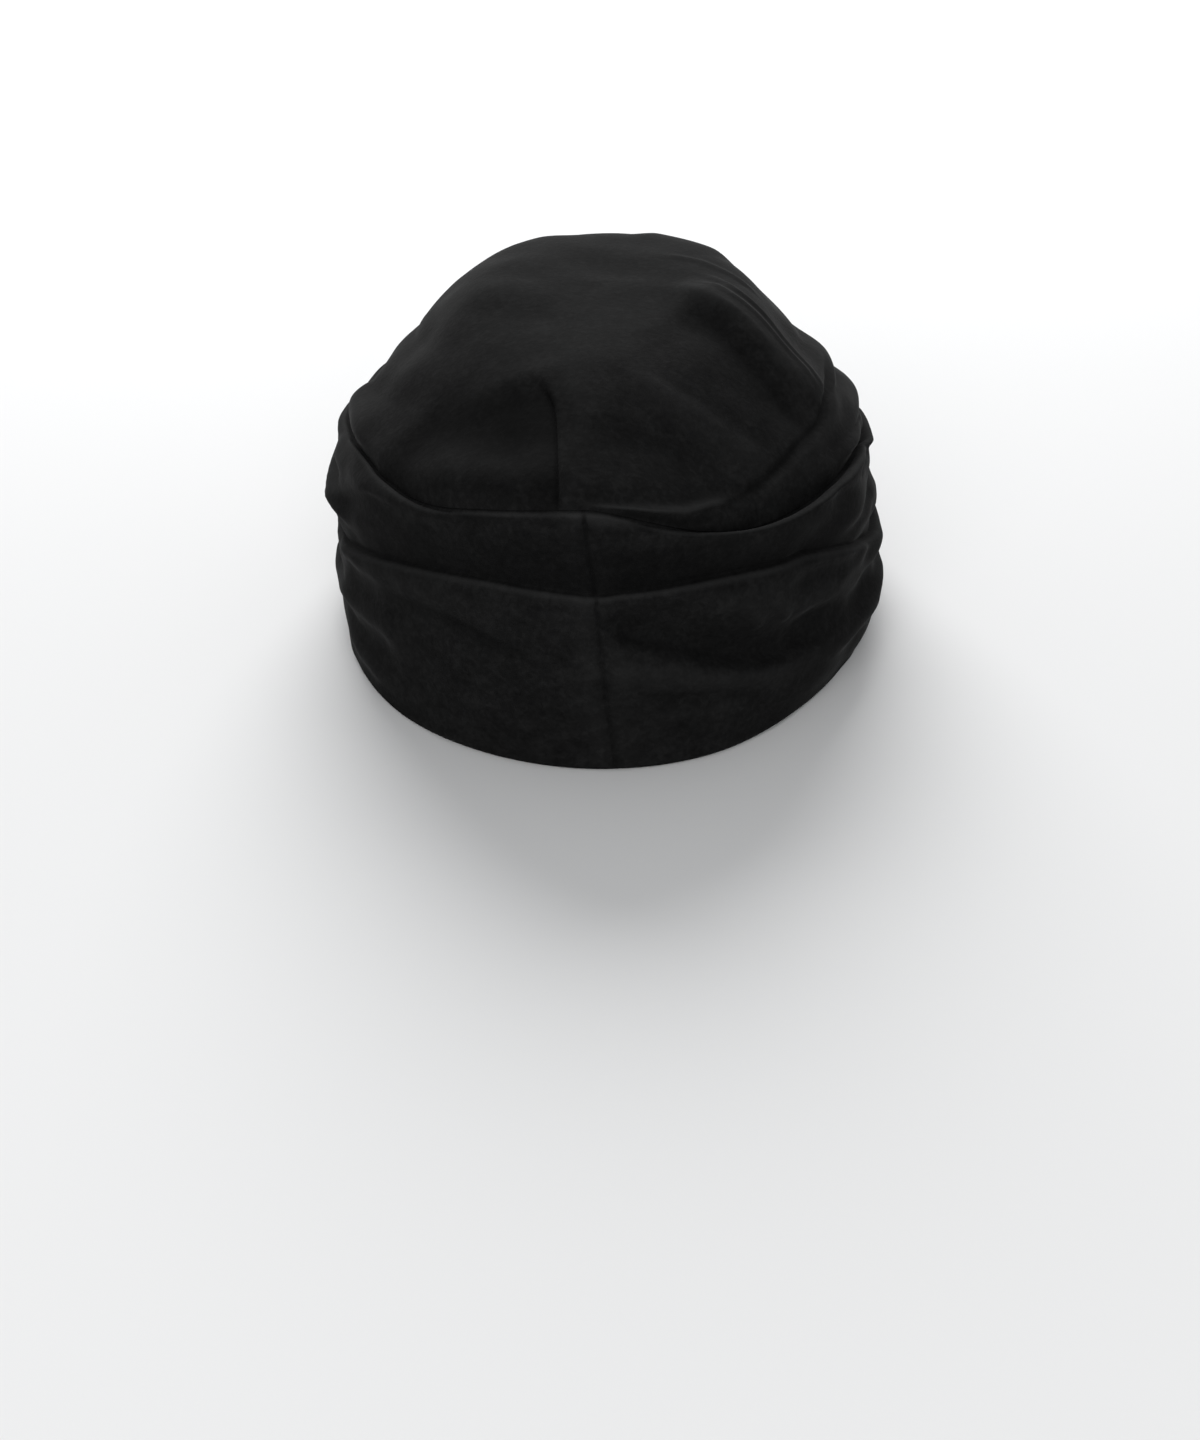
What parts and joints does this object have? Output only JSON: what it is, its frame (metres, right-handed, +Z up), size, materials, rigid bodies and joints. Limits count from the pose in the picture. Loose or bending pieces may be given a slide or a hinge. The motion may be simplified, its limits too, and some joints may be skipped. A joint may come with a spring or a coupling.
{
  "type": "marine cap",
  "caption": "Soft black marine cap of brushed suede-like cloth: a domed crown with a back dart, a wide band gathered into long level tucks, and a short peak at the front.",
  "frame": {"origin": "the middle of the cap's footprint on the surface that it rests on", "axes": "+Z up, +Y from the back of the cap to its peak, +X to the right as seen from behind"},
  "size_m": [0.1772, 0.2588, 0.1092],
  "materials": {
    "black_faux_suede": "brushed matt nap with a faint grey sheen at grazing angles"
  },
  "bodies": {
    "root": {"crown": "black_faux_suede", "gathered_band": "black_faux_suede", "peak": "black_faux_suede"}
  },
  "joints": []
}
